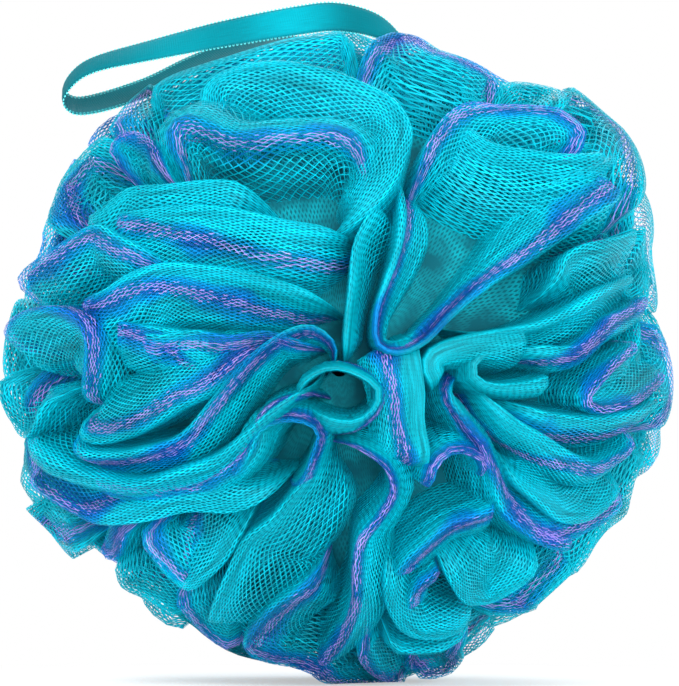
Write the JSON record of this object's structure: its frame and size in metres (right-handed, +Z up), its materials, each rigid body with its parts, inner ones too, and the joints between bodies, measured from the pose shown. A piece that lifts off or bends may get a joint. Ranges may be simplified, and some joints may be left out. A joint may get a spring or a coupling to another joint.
{
  "type": "mesh bath pouf",
  "caption": "Round bath pouf of gathered netting folds with a flat ribbon loop to hang it by.",
  "frame": {"origin": "on the floor under the middle of the ball, the ribbon loop left out", "axes": "+Z up through the hanging loop's end of the ball, +Y along the tied waist from the front gather to the back one, +X to the right as the front gather is looked at"},
  "size_m": [0.1297, 0.1232, 0.1331],
  "materials": {
    "netting": "open knitted nylon net, teal with purple and blue stripes",
    "tie_cord": "twisted nylon cord",
    "satin_ribbon": "single-face satin ribbon with picot edges"
  },
  "bodies": {
    "root": {"netting": "netting", "centre_tie": "tie_cord", "hanging_ribbon": "satin_ribbon"}
  },
  "joints": []
}
